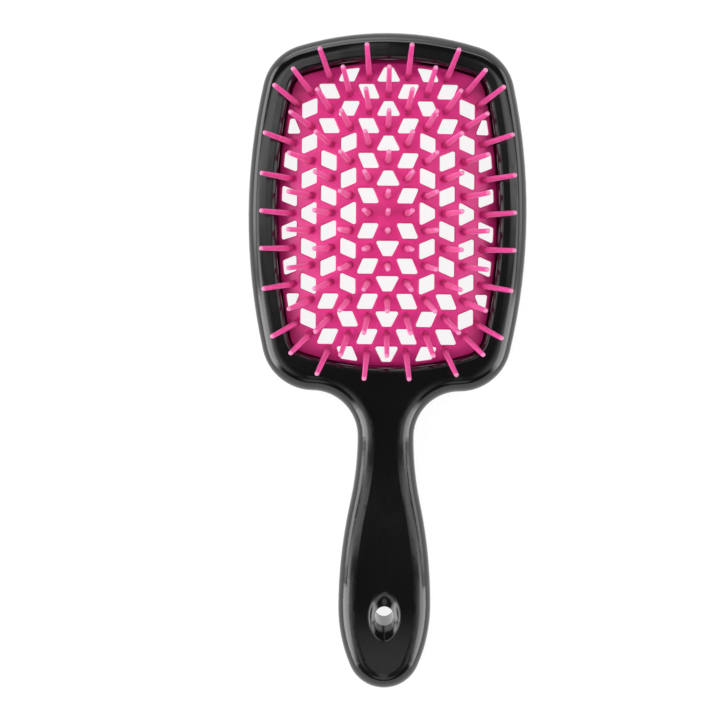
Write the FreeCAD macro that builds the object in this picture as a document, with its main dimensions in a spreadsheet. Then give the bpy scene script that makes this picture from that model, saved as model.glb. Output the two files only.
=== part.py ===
import FreeCAD, Part
import math
import os
from itertools import combinations

from FreeCAD import Rotation, Vector

# Detangling brush: a two-part frame with its handle, a domed flexible net and the pins on the net.
# The brush lies on its back: X across, +Y towards the head's end, +Z the way the pins point, in millimetres.
# The origin is on the surface it lies on, under the middle of the brush.

SIZES = {
    # outline of frame and handle: each drop is a step along the brush, from the head down to the handle's tip
    "head_width": 91.4,
    "head_length": 119.2,
    "neck_drop": 13.4,
    "grip_drop": 55.4,
    "tip_drop": 27.0,
    "side_bow_radius": 200.0,
    "end_bow_radius": 100.0,
    "corner_radius": 17.0,
    "flare_radius": 15.0,
    "neck_width": 18.4,
    "grip_width": 30.2,
    "swell_radius": 160.0,
    "tip_radius": 12.0,
    # heights of the two shells, seen from the side
    "split_level": 7.0,
    "head_front_level": 14.0,
    "neck_front_level": 13.6,
    "grip_front_level": 16.4,
    "tip_front_level": 13.8,
    "neck_back_level": 0.6,
    "tip_back_level": 0.8,
    "front_edge_round": 5.6,
    "back_edge_round": 5.0,
    "seam_round": 0.3,
    # head ring and the seat of the net's rim
    "ring_width": 9.2,
    "front_lip_round": 3.0,
    "back_lip_round": 1.5,
    "rim_reach": 2.0,
    "rim_thickness": 2.0,
    "rim_clearance": 0.3,
    # hollow inside the two shells, and the pegs that register them
    "outer_wall": 3.4,
    "seat_wall": 1.3,
    "cover_wall": 2.8,
    "post_radius": 1.9,
    "peg_radius": 0.9,
    "peg_length": 2.6,
    "peg_clearance": 0.1,
    # hang hole and the scoop that it sits in, both placed by their rise from the handle's tip
    "hang_hole_radius": 3.1,
    "hang_hole_rise": 23.6,
    "hang_hole_shift": 2.5,
    "hang_hole_round": 0.8,
    "scoop_rise": 23.2,
    "scoop_width": 10.4,
    "scoop_length": 17.0,
    "scoop_depth": 2.8,
    "scoop_lift": 4.4,
    "scoop_round": 1.0,
    "scoop_wall": 2.0,
    # net
    "rim_rise": 0.8,
    "dome_height": 9.2,
    "net_thickness": 2.0,
    "column_pitch": 6.45,
    "row_pitch": 5.74,
    "hole_edge": 5.2,
    "hole_height": 4.95,
    "hole_lean": 2.1,
    "hole_corner_radius": 0.6,
    "hole_border": 1.3,
    # pins, and the small bosses of the net that they stand on
    "pin_length": 18.5,
    "pin_root_radius": 1.1,
    "pin_tip_radius": 0.85,
    "boss_rise": 0.7,
    "boss_depth": 0.7,
    "boss_foot_radius": 1.8,
    "boss_top_radius": 1.3,
    "pin_clearance": 0.7,
    # how far every cutting tool runs past what it cuts
    "overrun": 2.0,
}
SUMS = {
    "brush_length": "=head_length + neck_drop + grip_drop + tip_drop",
    "rim_level": "=split_level + rim_rise",
}

# Share of the dome's fall that is a plain parabola, across and along. The rest falls with the fourth power.
PARABOLA_ACROSS_SHARE = 0.8
PARABOLA_ALONG_SHARE = 0.6
# How far past the opening the dome's surface is drawn before it is trimmed, as a share of the half opening.
DOME_REACH_SHARE = 1.1
DOME_DEGREE = 4
# The narrow edge of a trapezoid hole, as a share of its wide edge.
NARROW_EDGE_SHARE = 0.58
# Height bands on the dome, one for each group of pins, as the lowest share of the dome's height in each.
BAND_SHARES = {
    "pins_crown": 0.86,
    "pins_ring_1": 0.71,
    "pins_ring_2": 0.58,
    "pins_ring_3": 0.44,
    "pins_ring_4": 0.30,
    "pins_ring_5": 0.0,
}
# Where the side view's curves bend, as shares of the way from the neck to the tip.
GRIP_CREST_SHARE = 0.62
# Where the side view leaves the flat head, as a share of the way from the head's lower edge to the neck.
HEAD_FLAT_SHARE = 0.2
# Where the handle's two pegs stand, as shares of the way from the neck to the widest part of the grip.
NECK_PEG_SHARE = 0.22
GRIP_PEG_SHARE = 0.71
# How much of the room that its wall leaves a rounded edge may take.
ROUND_ROOM_SHARE = 0.95
# Slope of the outermost pins, and the dome's height under them as a share of its full height.
STEEPEST_LEAN_SHARE = 0.6
EDGE_HEIGHT_SHARE = 0.22
# Slope of a pin's lean: near the middle, its growth with the way out, and what it loses towards the corners.
LEAN_ACROSS_SHARES = (0.39, 0.30, 0.13)
LEAN_ALONG_SHARES = (0.21, 0.41, 0.06)
# How far past the border a site's middle may lie and still be used, as a share of the pitch.
HOLE_OVERHANG_SHARE = 0.2
PIN_OVERHANG_SHARE = 0.4
# How far a pin that the border holds in slides along it, as a share of how far it is held in.
CORNER_SLIDE_SHARE = 0.8
# Columns and rows of the net count from its middle. Holes up to these rows have upright long sides, by the
# column's distance from the middle column, and those beyond them have level ones.
LAST_UPRIGHT_ROWS = {1: 0, 2: 4, 3: 3, 4: 6, 5: 3}

doc = FreeCAD.newDocument("detangling_brush")


def make_sheet():
    """Puts every driving size and the sums of them in the spreadsheet, one alias each."""
    table = doc.addObject("Spreadsheet::Sheet", "Sizes")
    for row, (alias, value) in enumerate((SIZES | SUMS).items(), 1):
        table.set(f"A{row}", alias)
        table.set(f"B{row}", str(value))
        table.setAlias(f"B{row}", alias)
    doc.recompute()
    return table


sheet = make_sheet()


def size(alias):
    """A driving size, read back from the sheet."""
    return float(sheet.get(alias))


# Places that several pieces share
HEAD_END = size("brush_length") / 2
HEAD_MIDDLE = HEAD_END - size("head_length") / 2
HEAD_LOW = HEAD_END - size("head_length")
NECK_Y = HEAD_LOW - size("neck_drop")
GRIP_Y = NECK_Y - size("grip_drop")
TIP_Y = -HEAD_END
SCOOP_Y = TIP_Y + size("scoop_rise")
HALF_OPENING_X = size("head_width") / 2 - size("ring_width")
HALF_OPENING_Y = size("head_length") / 2 - size("ring_width")


# Helpers for document objects
def bind(thing, **expressions):
    """Binds properties to expressions in sheet aliases, written with a leading S. for the sheet."""
    for name, text in expressions.items():
        thing.setExpression(name.replace("__", "."), text.replace("S.", "Sizes."))
    return thing


def extrude(name, base, low, high):
    """Prism on a flat base in the XY plane, from one level to another."""
    prism = doc.addObject("Part::Extrusion", name)
    prism.Base = base
    prism.DirMode = "Custom"
    prism.Dir = Vector(0, 0, 1)
    prism.Solid = True
    return bind(prism, LengthFwd=high, LengthRev=f"-({low})")


def offset(name, base, distance):
    """Flat outline moved outwards by a distance, or inwards by a negative one."""
    moved = doc.addObject("Part::Offset2D", name)
    moved.Source = base
    return bind(moved, Value=distance)


def boolean(kind, name, base, tool):
    """Cut, Common or two-piece Fuse."""
    result = doc.addObject(f"Part::{kind}", name)
    result.Base = base
    result.Tool = tool
    return result


def fuse_all(name, things):
    """Several things as one."""
    result = doc.addObject("Part::MultiFuse", name)
    result.Shapes = things
    return result


def cylinder(name, x, y, radius, low, high):
    """Upright cylinder between two levels, all given as expressions."""
    rod = doc.addObject("Part::Cylinder", name)
    return bind(
        rod,
        Radius=radius,
        Height=f"({high}) - ({low})",
        Placement__Base__x=x,
        Placement__Base__y=y,
        Placement__Base__z=low,
    )


def sketch_of(name, curves):
    """Sketch in the XY plane that holds the given curves."""
    sketch = doc.addObject("Sketcher::SketchObject", name)
    sketch.addGeometry(curves, False)
    return sketch


# Outline of the brush, as tangent arcs
def circles_meet(first, first_radius, second, second_radius, turn):
    """Where two circles cross: left of the way from first to second with turn 1, right of it with -1."""
    way = second - first
    along = (way.Length**2 + first_radius**2 - second_radius**2) / (2 * way.Length)
    aside = math.sqrt(first_radius**2 - along**2)
    way.normalize()
    return first + way * along + Vector(-way.y, way.x, 0) * aside * turn


def touch(centre, radius, other):
    """Point of a circle that faces another circle's centre."""
    way = other - centre
    way.normalize()
    return centre + way * radius


def arc(centre, radius, start, end):
    """Arc of less than a half circle about a centre."""
    middle = (start - centre) + (end - centre)
    middle.normalize()
    return Part.Arc(start, centre + middle * radius, end)


def flipped(arcs, across):
    """The same arcs mirrored left to right, or about the head's middle."""
    def flip(point):
        if across:
            return Vector(-point.x, point.y, 0)
        return Vector(point.x, 2 * HEAD_MIDDLE - point.y, 0)

    return [(flip(centre), radius, flip(end), flip(start)) for centre, radius, start, end in reversed(arcs)]


def head_quarter():
    """Arcs of the head's right upper quarter, from the middle of its end to the middle of its side."""
    half_width = size("head_width") / 2
    side_radius = size("side_bow_radius")
    end_radius = size("end_bow_radius")
    corner_radius = size("corner_radius")
    side = Vector(half_width - side_radius, HEAD_MIDDLE, 0)
    end = Vector(0, HEAD_END - end_radius, 0)
    corner = circles_meet(end, end_radius - corner_radius, side, side_radius - corner_radius, -1)
    if corner.y < HEAD_MIDDLE:
        corner = circles_meet(end, end_radius - corner_radius, side, side_radius - corner_radius, 1)
    first = touch(end, end_radius, corner)
    second = touch(side, side_radius, corner)
    return [
        (end, end_radius, Vector(0, HEAD_END, 0), first),
        (corner, corner_radius, first, second),
        (side, side_radius, second, Vector(half_width, HEAD_MIDDLE, 0)),
    ]


def handle_half():
    """Arcs of the right side from the middle of the head's side down to the handle's tip."""
    half_width = size("head_width") / 2
    half_neck = size("neck_width") / 2
    half_grip = size("grip_width") / 2
    side_radius = size("side_bow_radius")
    corner_radius = size("corner_radius")
    flare_radius = size("flare_radius")
    swell_radius = size("swell_radius")
    tip_radius = size("tip_radius")
    # the neck's hollow curve and the grip's swell together cross from the neck's width to the grip's
    widening = half_grip - half_neck
    both_radii = (size("grip_drop") ** 2 + widening**2) / (2 * widening)
    neck_radius = both_radii - swell_radius
    tip = Vector(0, TIP_Y + tip_radius, 0)
    drop = GRIP_Y - tip.y
    shoulder_radius = (half_grip**2 + drop**2 - tip_radius**2) / (2 * (half_grip - tip_radius))
    side = Vector(half_width - side_radius, HEAD_MIDDLE, 0)
    flare = Vector(half_neck + flare_radius, NECK_Y, 0)
    corner = circles_meet(side, side_radius - corner_radius, flare, corner_radius + flare_radius, 1)
    neck = Vector(half_neck + neck_radius, NECK_Y, 0)
    swell = Vector(half_grip - swell_radius, GRIP_Y, 0)
    shoulder = Vector(half_grip - shoulder_radius, GRIP_Y, 0)
    points = [
        Vector(half_width, HEAD_MIDDLE, 0),
        touch(side, side_radius, corner),
        touch(flare, flare_radius, corner),
        Vector(half_neck, NECK_Y, 0),
        touch(swell, swell_radius, neck),
        Vector(half_grip, GRIP_Y, 0),
        touch(shoulder, shoulder_radius, tip),
        Vector(0, TIP_Y, 0),
    ]
    rounds = [
        (side, side_radius),
        (corner, corner_radius),
        (flare, flare_radius),
        (neck, neck_radius),
        (swell, swell_radius),
        (shoulder, shoulder_radius),
        (tip, tip_radius),
    ]
    return [(*rounds[k], points[k], points[k + 1]) for k in range(len(rounds))]


quarter = head_quarter()
right_side = quarter + handle_half()
brush_arcs = right_side + flipped(right_side, True)
head_right = quarter + flipped(quarter, False)
head_arcs = head_right + flipped(head_right, True)
brush_outline = sketch_of("brush_outline", [arc(*one) for one in brush_arcs])
head_outline = sketch_of("head_outline", [arc(*one) for one in head_arcs])


# Side view of the two shells
def side_view(name, face_level, levels):
    """Block across the brush between the parting plane and a shell's face, which bends along the handle."""
    split = size("split_level")
    end_y = HEAD_END + size("overrun")
    flat_y = HEAD_LOW + (NECK_Y - HEAD_LOW) * HEAD_FLAT_SHARE
    crest_y = NECK_Y + (TIP_Y - NECK_Y) * GRIP_CREST_SHARE
    bends = [
        Vector(flat_y, face_level, 0),
        Vector(NECK_Y, levels[0], 0),
        Vector(crest_y, levels[1], 0),
        Vector(-end_y, levels[2], 0),
    ]
    face_curve = Part.BSplineCurve()
    face_curve.interpolate(bends, InitialTangent=Vector(-1, 0, 0), FinalTangent=bends[-1] - bends[-2])
    corners = [
        bends[-1],
        Vector(-end_y, split, 0),
        Vector(end_y, split, 0),
        Vector(end_y, face_level, 0),
        bends[0],
    ]
    lines = [Part.LineSegment(corners[k], corners[k + 1]) for k in range(len(corners) - 1)]
    sketch = sketch_of(f"{name}_side_view", [face_curve, *lines])
    sketch.Placement = FreeCAD.Placement(
        Vector(0, 0, 0), Rotation(Vector(0, 1, 0), Vector(0, 0, 1), Vector(1, 0, 0), "XYZ")
    )
    block = doc.addObject("Part::Extrusion", f"{name}_side_block")
    block.Base = sketch
    block.DirMode = "Custom"
    block.Dir = Vector(1, 0, 0)
    block.Solid = True
    block.Symmetric = True
    return bind(block, LengthFwd="S.head_width + 2 * S.overrun")


slab = extrude("slab", brush_outline, "-S.overrun", "S.grip_front_level + S.overrun")
front_levels = (size("neck_front_level"), size("grip_front_level"), size("tip_front_level"))
back_levels = (size("neck_back_level"), 0, size("tip_back_level"))
front_block = side_view("front", size("head_front_level"), front_levels)
back_block = side_view("back", 0, back_levels)

# The head's opening, the seat that the net's rim lies in, and the hollow
opening_outline = offset("opening_outline", head_outline, "-S.ring_width")
opening = extrude("opening", opening_outline, "-S.overrun", "S.grip_front_level + S.overrun")
seat_outline = offset("seat_outline", head_outline, "S.rim_reach + S.rim_clearance - S.ring_width")
SEAT_LOW = "S.split_level - S.rim_thickness / 2"
SEAT_HIGH = "S.split_level + S.rim_thickness / 2"
seat = extrude("seat", seat_outline, SEAT_LOW, SEAT_HIGH)

hollow_outline = offset("hollow_outline", brush_outline, "-S.outer_wall")
hollow_block = extrude("hollow_block", hollow_outline, "S.cover_wall", "S.head_front_level - S.cover_wall")
WALL_INSET = "S.rim_reach + S.rim_clearance + S.seat_wall - S.ring_width"
seat_wall_outline = offset("seat_wall_outline", head_outline, WALL_INSET)
seat_wall_block = extrude("seat_wall_block", seat_wall_outline, "0", "S.grip_front_level")
scoop_boss_outline = sketch_of(
    "scoop_boss_outline",
    [
        Part.Ellipse(
            Vector(0, SCOOP_Y + size("scoop_length") / 2 + size("scoop_wall"), 0),
            Vector(size("scoop_width") / 2 + size("scoop_wall"), SCOOP_Y, 0),
            Vector(0, SCOOP_Y, 0),
        )
    ],
)
scoop_boss = extrude("scoop_boss", scoop_boss_outline, "0", "S.grip_front_level")

# Places of the registering pegs, in the middle of the ring's hollow and along the handle
RING_PEG_INSET = "(S.outer_wall + S.ring_width - S.rim_reach - S.rim_clearance - S.seat_wall) / 2"
HEAD_MIDDLE_TEXT = "(S.brush_length - S.head_length) / 2"
NECK_TEXT = "S.brush_length / 2 - S.head_length - S.neck_drop"
PEG_PLACES = {
    "left": (f"{RING_PEG_INSET} - S.head_width / 2", HEAD_MIDDLE_TEXT),
    "right": (f"S.head_width / 2 - {RING_PEG_INSET}", HEAD_MIDDLE_TEXT),
    "end": ("0", f"S.brush_length / 2 - {RING_PEG_INSET}"),
    "root": ("0", f"S.brush_length / 2 - S.head_length + {RING_PEG_INSET}"),
    "neck": ("0", f"{NECK_TEXT} - S.grip_drop * {NECK_PEG_SHARE}"),
    "grip": ("0", f"{NECK_TEXT} - S.grip_drop * {GRIP_PEG_SHARE}"),
}
PEG_TIP = "S.split_level - S.peg_length"
SOCKET_FLOOR = "S.split_level - S.peg_length - S.peg_clearance"
posts = [
    cylinder(f"post_{name}", x, y, "S.post_radius", "0", "S.grip_front_level")
    for name, (x, y) in PEG_PLACES.items()
]
pegs = [
    cylinder(f"peg_{name}", x, y, "S.peg_radius", PEG_TIP, "S.split_level + S.peg_length")
    for name, (x, y) in PEG_PLACES.items()
]
SOCKET_RADIUS = "S.peg_radius + S.peg_clearance"
sockets = [
    cylinder(f"socket_{name}", x, y, SOCKET_RADIUS, SOCKET_FLOOR, "S.split_level + S.overrun")
    for name, (x, y) in PEG_PLACES.items()
]
hollow_keep = fuse_all("hollow_keep", [seat_wall_block, scoop_boss, *posts])
hollow = boolean("Cut", "hollow", hollow_block, hollow_keep)

# The hang hole, which leans so that its back end is nearer the head, and the scoop round it, which is the low
# end of an ellipsoid that stands over the handle
hole_way = Vector(0, -size("hang_hole_shift"), size("grip_front_level"))
hole_way.normalize()
hole_back = Vector(0, TIP_Y + size("hang_hole_rise") + size("hang_hole_shift"), 0)
hang_hole = doc.addObject("Part::Cylinder", "hang_hole")
hang_hole.Placement = FreeCAD.Placement(
    hole_back - hole_way * size("overrun"), Rotation(Vector(0, 0, 1), hole_way)
)
bind(hang_hole, Radius="S.hang_hole_radius", Height="S.grip_front_level + 3 * S.overrun")
SCOOP_MOUTH = "sqrt(1 - (S.scoop_lift / (S.scoop_depth + S.scoop_lift))^2)"
scoop = bind(
    doc.addObject("Part::Ellipsoid", "scoop"),
    Radius1="S.scoop_depth + S.scoop_lift",
    Radius2=f"S.scoop_width / 2 / {SCOOP_MOUTH}",
    Radius3=f"S.scoop_length / 2 / {SCOOP_MOUTH}",
    Placement__Base__y="S.scoop_rise - S.brush_length / 2",
    Placement__Base__z="S.grip_front_level + S.scoop_lift",
)


# The two shells
def limited(radius, room):
    """A round's radius, held to the room that its wall leaves."""
    return min(radius, room * ROUND_ROOM_SHARE)


FRONT_LIP = limited(size("front_lip_round"), size("ring_width") / 2)
FRONT_EDGE_ROOM = min(size("head_front_level"), *front_levels) - size("split_level") - size("seam_round")
FRONT_EDGE = limited(size("front_edge_round"), min(size("ring_width") - FRONT_LIP, FRONT_EDGE_ROOM))
BACK_LIP = limited(size("back_lip_round"), size("ring_width") / 2)
BACK_EDGE_ROOM = size("split_level") - max(back_levels) - size("seam_round")
BACK_EDGE = limited(size("back_edge_round"), min(size("ring_width") - BACK_LIP, BACK_EDGE_ROOM))


def rounded(name, base, on_face, outer_radius, lip_radius, hole_radius=None):
    """Rounds a shell's outer edges, less at the seam than on its face, and its openings' mouths."""
    doc.recompute()
    edges = []
    for number, edge in enumerate(base.Shape.Edges, 1):
        box = edge.BoundBox
        half_width = max(abs(box.XMin), abs(box.XMax))
        in_opening = half_width < HALF_OPENING_X + size("rim_clearance")
        in_opening = in_opening and abs(box.Center.y - HEAD_MIDDLE) < HALF_OPENING_Y + size("rim_clearance")
        in_hole = abs(box.Center.y - hole_back.y) < size("hang_hole_radius")
        in_hole = in_hole and half_width < size("scoop_width") / 2
        at_seam = abs(box.Center.z - size("split_level")) + box.ZLength < size("seam_round")
        radius = None
        if on_face(box):
            radius = outer_radius
            if in_opening:
                radius = lip_radius
            if in_hole:
                radius = hole_radius
        elif at_seam and not in_opening and not in_hole:
            radius = size("seam_round")
        if radius:
            edges.append((number, radius, radius))
    round_feature = doc.addObject("Part::Fillet", name)
    round_feature.Base = base
    round_feature.Edges = edges
    return round_feature


def scoop_rounded(base):
    """Rounds the scoop's rim."""
    doc.recompute()
    radius = limited(size("scoop_round"), size("scoop_depth"))
    edges = []
    for number, edge in enumerate(base.Shape.Edges, 1):
        box = edge.BoundBox
        on_rim = box.ZMin > size("grip_front_level") - size("scoop_depth")
        on_rim = on_rim and abs(box.Center.y - SCOOP_Y) < size("scoop_length") / 2
        on_rim = on_rim and max(abs(box.XMin), abs(box.XMax)) < size("scoop_width") / 2 + size("scoop_round")
        if on_rim:
            edges.append((number, radius, radius))
    round_feature = doc.addObject("Part::Fillet", "front_scoop_rounded")
    round_feature.Base = base
    round_feature.Edges = edges
    return round_feature


def front_shell():
    """Front half of ring and handle, with the seat, the hollow, the pegs, the scoop and the hang hole."""
    solid = boolean("Common", "front_solid", slab, front_block)
    ring = boolean("Cut", "front_ring", solid, opening)
    over_split = size("split_level") + size("rim_thickness")
    smooth = rounded("front_rounded", ring, lambda box: box.ZMin > over_split, FRONT_EDGE, FRONT_LIP)
    seated = boolean("Cut", "front_seated", smooth, seat)
    hollowed = boolean("Cut", "front_hollowed", seated, hollow)
    pegged = fuse_all("front_pegged", [hollowed, *pegs])
    scooped = boolean("Cut", "front_scooped", pegged, scoop)
    softened = scoop_rounded(scooped)
    shell = boolean("Cut", "front_shell", softened, hang_hole)
    shell.Label = "front_shell"
    return shell


def back_shell():
    """Back half of ring and handle, with sockets for the front's pegs."""
    solid = boolean("Common", "back_solid", slab, back_block)
    ring = boolean("Cut", "back_ring", solid, opening)
    drilled = boolean("Cut", "back_drilled", ring, hang_hole)
    under_split = size("split_level") - size("rim_thickness")
    smooth = rounded(
        "back_rounded",
        drilled,
        lambda box: box.ZMax < under_split,
        BACK_EDGE,
        BACK_LIP,
        size("hang_hole_round"),
    )
    seated = boolean("Cut", "back_seated", smooth, seat)
    hollowed = boolean("Cut", "back_hollowed", seated, hollow)
    shell = boolean("Cut", "back_shell", hollowed, fuse_all("sockets", sockets))
    shell.Label = "back_shell"
    return shell


# The dome's shape
def fall(share, parabola_share):
    """Height left at a share of the way from the dome's middle to its rim, as a share of the whole height."""
    return 1 - parabola_share * share**2 - (1 - parabola_share) * share**4


def dome_height_share(x, y):
    """Height of the dome over its rim, as a share of its full height. Y counts from the head's middle."""
    across = fall(x / HALF_OPENING_X, PARABOLA_ACROSS_SHARE)
    along = fall(y / HALF_OPENING_Y, PARABOLA_ALONG_SHARE)
    return across * along


def fall_poles(parabola_share):
    """The control values of the fall's curve, which is exact at the dome's degree."""
    poles = []
    for ups in range(DOME_DEGREE + 1):
        ends = [DOME_REACH_SHARE] * ups + [-DOME_REACH_SHARE] * (DOME_DEGREE - ups)
        pairs = [first * second for first, second in combinations(ends, 2)]
        square = sum(pairs) / len(pairs)
        poles.append(1 - parabola_share * square - (1 - parabola_share) * math.prod(ends))
    return poles


def dome_surface():
    """The net's upper surface."""
    across = fall_poles(PARABOLA_ACROSS_SHARE)
    along = fall_poles(PARABOLA_ALONG_SHARE)
    surface = Part.BezierSurface()
    surface.increase(DOME_DEGREE, DOME_DEGREE)
    for i, lift_across in enumerate(across):
        for j, lift_along in enumerate(along):
            pole = Vector(
                HALF_OPENING_X * DOME_REACH_SHARE * (2 * i / DOME_DEGREE - 1),
                HEAD_MIDDLE + HALF_OPENING_Y * DOME_REACH_SHARE * (2 * j / DOME_DEGREE - 1),
                size("rim_level") + size("dome_height") * lift_across * lift_along,
            )
            surface.setPole(i + 1, j + 1, pole)
    return surface


# Sites of the net's holes and pins
def site_place(column, row):
    """X and Y of a site, Y from the head's middle."""
    return column * size("column_pitch"), row * size("row_pitch")


def site_border():
    """How far inside the opening the outer pins stand, to clear the ring's lip as they lean over it."""
    reach = FRONT_LIP + size("pin_root_radius") + size("pin_clearance")
    root_level = size("rim_level") + size("dome_height") * EDGE_HEIGHT_SHARE
    rise = size("head_front_level") - FRONT_LIP - root_level
    return reach * math.hypot(1, STEEPEST_LEAN_SHARE) + rise * STEEPEST_LEAN_SHARE - FRONT_LIP


def border_x(y):
    """Half width that holes and pins have at a place along the bowed opening."""
    bow_radius = size("side_bow_radius") - size("ring_width")
    return HALF_OPENING_X - y**2 / (2 * bow_radius) - site_border()


def border_y(x):
    """Half length that holes and pins have at a place across the bowed opening."""
    bow_radius = size("end_bow_radius") - size("ring_width")
    return HALF_OPENING_Y - x**2 / (2 * bow_radius) - site_border()


def sites(want_hole, overhang_share):
    """Columns and rows of the net's holes, or of its pins. They take turns, and the middle site is a pin."""
    last_column = math.ceil(HALF_OPENING_X / size("column_pitch"))
    last_row = math.ceil(HALF_OPENING_Y / size("row_pitch"))
    found = []
    for column in range(-last_column, last_column + 1):
        for row in range(-last_row, last_row + 1):
            x, y = site_place(column, row)
            fits = abs(x) <= border_x(y) + overhang_share * size("column_pitch")
            fits = fits and abs(y) <= border_y(x) + overhang_share * size("row_pitch")
            middle = column == 0 and row == 0
            is_hole = (column + row) % 2 == 0 and not middle
            if fits and is_hole == want_hole:
                found.append((column, row))
    return found


def hole_corners(column, row):
    """Corners of one hole about its middle: a trapezoid on the net's middle lines, elsewhere a rhombus."""
    half_edge = size("hole_edge") / 2
    half_height = size("hole_height") / 2
    lean = size("hole_lean") / 2
    wide = half_edge + lean
    on_middle_line = column == 0 or row == 0
    if on_middle_line:
        narrow = wide * NARROW_EDGE_SHARE
        corners = [(-narrow, half_height), (narrow, half_height), (wide, -half_height), (-wide, -half_height)]
        flip_x = -1 if column < 0 else 1
    else:
        corners = [
            (-half_edge - lean, half_height),
            (half_edge - lean, half_height),
            (half_edge + lean, -half_height),
            (-half_edge + lean, -half_height),
        ]
        # the two sides mirror one another, and every other column leans the other way
        flip_x = 1 if (column < 0) == (column % 2 == 1) else -1
    flip_y = -1 if row < 0 else 1
    if row == 0 or abs(row) <= LAST_UPRIGHT_ROWS.get(abs(column), 0):
        corners = [(y, x) for x, y in corners]
    return [(x * flip_x, y * flip_y) for x, y in corners]


def rounded_polygon(points, radius):
    """Flat wire through points with each corner rounded by an arc."""
    edges = []
    count = len(points)
    starts = []
    ends = []
    for k, point in enumerate(points):
        before = points[k - 1] - point
        after = points[(k + 1) % count] - point
        half_angle = before.getAngle(after) / 2
        before.normalize()
        after.normalize()
        step = radius / math.tan(half_angle)
        inward = before + after
        inward.normalize()
        centre = point + inward * (radius / math.sin(half_angle))
        starts.append(point + before * step)
        ends.append(point + after * step)
        edges.append(Part.Arc(starts[-1], centre - inward * radius, ends[-1]).toShape())
    for k in range(count):
        edges.append(Part.LineSegment(ends[k], starts[(k + 1) % count]).toShape())
    return Part.Wire(Part.sortEdges(edges)[0])


def hole_prisms():
    """Upright prisms that cut the net's holes, kept inside its plain border."""
    low = size("split_level") - size("rim_thickness") - size("overrun")
    height = size("rim_level") + size("dome_height") + size("overrun") - low
    prisms = []
    for column, row in sites(True, HOLE_OVERHANG_SHARE):
        x, y = site_place(column, row)
        corners = [Vector(x + dx, HEAD_MIDDLE + y + dy, low) for dx, dy in hole_corners(column, row)]
        wire = rounded_polygon(corners, size("hole_corner_radius"))
        prisms.append(Part.Face(wire).extrude(Vector(0, 0, height)))
    return Part.makeCompound(prisms)


# The net, its flat rim and its bosses
net_outline = offset("net_outline", head_outline, "-S.ring_width - S.rim_clearance")
net_trim = extrude("net_trim", net_outline, "0", "S.grip_front_level + S.dome_height")
holes_outline = offset("holes_outline", head_outline, "-S.ring_width - S.rim_clearance - S.hole_border")
holes_region = extrude("holes_region", holes_outline, "0", "S.grip_front_level + S.dome_height")
rim_outline = offset("rim_outline", head_outline, "S.rim_reach - S.ring_width")
rim_plate = extrude("rim_plate", rim_outline, SEAT_LOW, SEAT_HIGH)
rim_window = extrude("rim_window", holes_outline, "0", "S.grip_front_level")
rim_ring = boolean("Cut", "rim_ring", rim_plate, rim_window)


def pad_net(seats):
    """Domed net in one piece with its flat rim and a small boss under each pin, with its rows of holes."""
    doc.recompute()
    domed = dome_surface().toShape().extrude(Vector(0, 0, -size("net_thickness"))).common(net_trim.Shape)
    foot_radius = size("boss_foot_radius")
    top_radius = size("boss_top_radius")
    boss_height = size("boss_depth") + size("boss_rise")
    bosses = []
    for _, place, lean in seats:
        foot = place - lean * size("boss_depth")
        bosses.append(Part.makeCone(foot_radius, top_radius, boss_height, foot, lean))
    whole = domed.fuse([rim_ring.Shape, *bosses])
    holed = whole.cut(hole_prisms().common(holes_region.Shape))
    if len(holed.Solids) != 1:
        raise RuntimeError("the net is not in one piece")
    net = doc.addObject("Part::Feature", "pad_net")
    net.Label = "pad_net"
    net.Shape = holed.Solids[0]
    net.Placement = FreeCAD.Placement()
    return net


# Pins
def pin_seats():
    """Each pin's height share on the dome, its place on the dome and the way that it leans."""
    seats = []
    for column, row in sites(False, PIN_OVERHANG_SHARE):
        x, y = site_place(column, row)
        held_in = max(0, abs(x) - border_x(y))
        x = math.copysign(abs(x) - held_in, x)
        y = math.copysign(min(abs(y) + held_in * CORNER_SLIDE_SHARE, border_y(x)), y)
        across = x / HALF_OPENING_X
        along = y / HALF_OPENING_Y
        start, growth, loss = LEAN_ACROSS_SHARES
        lean_x = across * (start + growth * across**2 - loss * along**2)
        start, growth, loss = LEAN_ALONG_SHARES
        lean_y = along * (start + growth * along**2 - loss * across**2)
        lean = Vector(lean_x, lean_y, 1)
        lean.normalize()
        height_share = dome_height_share(x, y)
        place = Vector(x, HEAD_MIDDLE + y, size("rim_level") + size("dome_height") * height_share)
        seats.append((height_share, place, lean))
    return seats


def pin_shape():
    """One pin standing along Z on the middle of its root: a slim cone with a round tip."""
    tip = size("pin_tip_radius")
    shoulder = size("pin_length") - size("boss_rise") - tip
    cone = Part.makeCone(size("pin_root_radius"), tip, shoulder)
    ball = Part.makeSphere(tip, Vector(0, 0, shoulder))
    return cone.fuse(ball).removeSplitter()


def pin_groups(seats):
    """The pins in groups that sink together, by their height on the dome."""
    pin = pin_shape()
    groups = {name: [] for name in BAND_SHARES}
    heights = {name: [] for name in BAND_SHARES}
    for height_share, place, lean in seats:
        name = next(band for band, lowest in BAND_SHARES.items() if height_share > lowest)
        copy = pin.copy()
        copy.Placement = FreeCAD.Placement(place + lean * size("boss_rise"), Rotation(Vector(0, 0, 1), lean))
        groups[name].append(copy)
        heights[name].append(height_share)
    nodes = []
    for name, pins in groups.items():
        node = doc.addObject("Part::Feature", name)
        node.Label = name
        node.Shape = Part.makeCompound(pins)
        node.Placement = FreeCAD.Placement()
        nodes.append(node)
        mean_share = sum(heights[name]) / len(pins)
        print(f"{name}: {len(pins)} pins, mean height share {mean_share:.4f}")
    return nodes


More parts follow.
